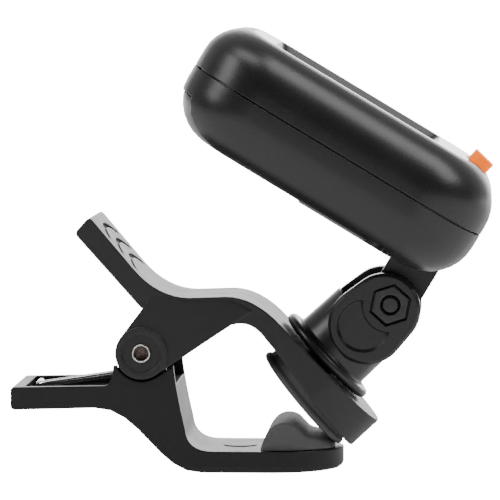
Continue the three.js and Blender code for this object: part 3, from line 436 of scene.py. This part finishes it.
# Lower pad: a ridge and a low tail on the flat jaw
PAD_BASE = 3.72
PAD_HALF = 10.8
PAD_TIP_CENTRE = -2.5
PAD_RIDGE = [
    (-4.85, PAD_BASE),
    (-4.5, 5.0),
    (-3.75, 6.55),
    (-2.6, 7.75),
    (-1.0, 8.22),
    (0.6, 7.85),
    (1.75, 6.85),
    (2.7, 6.0),
    (4.0, 5.7),
    (5.0, 5.55),
    (6.1, 5.0),
    (6.8, 4.3),
    (7.0, PAD_BASE),
]
PAD_ROUND = 0.9
PAD_ROUND_STEPS = 6
PAD_RIDGE_STEPS = 5


def pad_half_width(x):
    beyond = max(x - PAD_TIP_CENTRE, 0)
    return math.sqrt(max(PAD_HALF**2 - beyond**2, 0))


def make_lower_pad(materials):
    ridge = smooth_line(PAD_RIDGE, PAD_RIDGE_STEPS)
    rows = []
    for x, z in ridge:
        half = pad_half_width(x)
        height = z - PAD_BASE
        rounding = min(PAD_ROUND, height)
        row = [(x, -half, PAD_BASE), (x, -half, PAD_BASE + (height - rounding) * 0.5)]
        for step in range(PAD_ROUND_STEPS + 1):
            angle = step * math.pi / (2 * PAD_ROUND_STEPS)
            row.append(
                (
                    x,
                    -half + rounding * (1 - math.cos(angle)),
                    PAD_BASE + height - rounding * (1 - math.sin(angle)),
                )
            )
        mirrored = [(a, -b, c) for a, b, c in reversed(row)]
        rows.append([*row, (x, 0, z), *mirrored])
    count = len(rows[0])
    points = [p for row in rows for p in row]
    faces = ring_faces(len(rows), count) + end_faces(len(rows), count)
    mesh_piece("lower_pad_rubber", points, faces, [materials["grey_rubber"]], "clip_base", "lower_pad")


# Swivel frame of the CAD model: origin on the tilt axis, s along the swivel axis, r toward the clip tip
HINGE = Vector((16.3, 0, 27.4))
SWIVEL_LEAN = math.radians(47)


def swivel_point(r, y, s):
    along = Vector((math.sin(SWIVEL_LEAN), 0, math.cos(SWIVEL_LEAN)))
    across = Vector((math.cos(SWIVEL_LEAN), 0, -math.sin(SWIVEL_LEAN)))
    return HINGE + along * s + across * r + Vector((0, y, 0))


UPPER_PAD_CENTRE = 1.8
UPPER_PAD_BOTTOM = -22.05
UPPER_PAD_LEAN = math.radians(3)
UPPER_PAD_TURNS = 96
UPPER_PAD_PROFILE = [  # radius, height over the pad's face
    (0.3, 0),
    (7.6, 0),
    (9.0, 0.02),
    (9.45, 0.18),
    (9.6, 0.5),
    (9.58, 0.85),
    (9.42, 1.1),
    (9.2, 1.25),
    (9.1, 1.5),
    (9.1, 3.0),
    (9.05, 4.2),
    (8.4, 4.6),
    (0.3, 4.65),
]


def make_upper_pad(materials):
    turns = UPPER_PAD_TURNS
    points = []
    for radius, height in UPPER_PAD_PROFILE:
        for i in range(turns):
            angle = 2 * math.pi * i / turns
            x = radius * math.cos(angle)
            leaned_r = x * math.cos(UPPER_PAD_LEAN) + height * math.sin(UPPER_PAD_LEAN)
            leaned_s = height * math.cos(UPPER_PAD_LEAN) - x * math.sin(UPPER_PAD_LEAN)
            across = radius * math.sin(angle)
            points.append(swivel_point(UPPER_PAD_CENTRE + leaned_r, across, UPPER_PAD_BOTTOM + leaned_s))
    rows = len(UPPER_PAD_PROFILE)
    faces = ring_faces(rows, turns) + end_faces(rows, turns)
    mesh_piece("upper_pad_rubber", points, faces, [materials["grey_rubber"]], "clip_lever", "upper_pad")


# Rivet: a bright rolled lip round a dull blind bore
PIVOT = (-24.3, 19.6)
RIVET_LIP_FACE = 11.8
RIVET_TURNS = 48
BORE_REACH = 1.19  # faces nearer the axis than this are the bore
BORE_DEEP = RIVET_LIP_FACE - 0.5  # and lie deeper than this
RIVET_PROFILE = [  # radius, distance along Y
    (0.02, 10.5),
    (1.12, 10.5),
    (1.18, 10.7),
    (1.18, 11.4),
    (1.2, 11.62),
    (1.28, 11.76),
    (1.38, 11.8),
    (1.48, 11.74),
    (1.54, 11.6),
    (1.54, 11.45),
    (1.25, 11.4),
    (1.25, 5),
]


def make_rivet(materials):
    profile = [*RIVET_PROFILE, *[(radius, -along) for radius, along in reversed(RIVET_PROFILE)]]
    turns = RIVET_TURNS
    points = [
        (
            PIVOT[0] + radius * math.cos(2 * math.pi * i / turns),
            along,
            PIVOT[1] + radius * math.sin(2 * math.pi * i / turns),
        )
        for radius, along in profile
        for i in range(turns)
    ]
    faces = ring_faces(len(profile), turns) + end_faces(len(profile), turns)
    finish = [materials["bright_steel"], materials["rivet_bore"]]
    rivet = mesh_piece("rivet", points, faces, finish, "clip_base", "pivot_rivet")
    for polygon in rivet.data.polygons:
        centre = polygon.center / MM
        reach = math.hypot(centre.x - PIVOT[0], centre.z - PIVOT[1])
        if reach < BORE_REACH and abs(centre.y) < BORE_DEEP:
            polygon.material_index = 1


# Torsion spring: five turns round the rivet and a leg along each handle
WIRE_RADIUS = 0.55
COIL_RADIUS = 3.15
COIL_TURNS = 5
COIL_PITCH = 1.45
LOWER_LEG = 18.4
UPPER_LEG = 18
FOOT_LENGTH = 6
LOWER_ANGLE = math.radians(-81.4)
UPPER_ANGLE = math.radians(33)
COIL_STEPS = 180
BEND = 0.9  # length taken by the bend between a leg and its foot
BEND_CORNER = 0.3


def spring_line():
    sweep = COIL_TURNS * 2 * math.pi + UPPER_ANGLE - LOWER_ANGLE
    length = COIL_PITCH * sweep / (2 * math.pi)

    def on_coil(angle, along):
        return Vector(
            (PIVOT[0] + COIL_RADIUS * math.cos(angle), along, PIVOT[1] + COIL_RADIUS * math.sin(angle))
        )

    start = on_coil(LOWER_ANGLE, -length / 2)
    end = on_coil(UPPER_ANGLE, length / 2)
    down = Vector((math.sin(LOWER_ANGLE), 0, -math.cos(LOWER_ANGLE)))
    up = Vector((-math.sin(UPPER_ANGLE), 0, math.cos(UPPER_ANGLE)))
    foot = Vector((0, FOOT_LENGTH, 0))
    foot_bend = foot * (BEND / FOOT_LENGTH)
    low = start + down * LOWER_LEG
    high = end + up * UPPER_LEG
    points = [low + foot, low + foot_bend]
    points += [low + foot_bend * BEND_CORNER - down * BEND * BEND_CORNER, low - down * BEND]
    points += [start + down * LOWER_LEG * share for share in (0.75, 0.5, 0.25)]
    for step in range(COIL_STEPS + 1):
        share = step / COIL_STEPS
        points.append(on_coil(LOWER_ANGLE + sweep * share, length * (share - 0.5)))
    points += [end + up * UPPER_LEG * share for share in (0.25, 0.5, 0.75)]
    points += [high - up * BEND, high - up * BEND * BEND_CORNER - foot_bend * BEND_CORNER]
    points += [high - foot_bend, high - foot]
    return points


def make_spring(materials):
    data = bpy.data.curves.new("spring_wire", "CURVE")
    data.dimensions = "3D"
    data.bevel_depth = WIRE_RADIUS * MM
    data.bevel_resolution = 4
    data.use_fill_caps = True
    data.resolution_u = 2
    line = data.splines.new("NURBS")
    points = spring_line()
    line.points.add(len(points) - 1)
    for point, place in zip(line.points, points):
        point.co = (*(place * MM), 1)
    line.order_u = 3
    line.use_endpoint_u = True
    wire = bpy.data.objects.new("spring_wire_curve", data)
    bpy.context.scene.collection.objects.link(wire)
    bpy.context.view_layer.update()
    mesh = bpy.data.meshes.new_from_object(wire.evaluated_get(bpy.context.evaluated_depsgraph_get()))
    bpy.data.objects.remove(wire)
    mesh.name = "spring_wire"
    mesh.materials.clear()
    mesh.materials.append(materials["bright_steel"])
    for polygon in mesh.polygons:
        polygon.use_smooth = True
    spring = bpy.data.objects.new("spring_wire", mesh)
    bpy.context.scene.collection.objects.link(spring)
    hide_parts("torsion_spring")
    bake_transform(spring)


make_camera()
make_world()
make_floor()
materials = make_materials()
dress_nodes(materials)
make_lower_pad(materials)
make_upper_pad(materials)
make_rivet(materials)
make_spring(materials)
softbox("top_right_box", (0.46, -0.19, 0.6), 0.38, 0.6, 3.9)
softbox("top_strip", (-0.12, -0.2, 0.8), 0.5, 0.26, 2.0)
softbox("left_strip", (-0.54, -0.27, 0.49), 0.28, 0.52, 2.7)
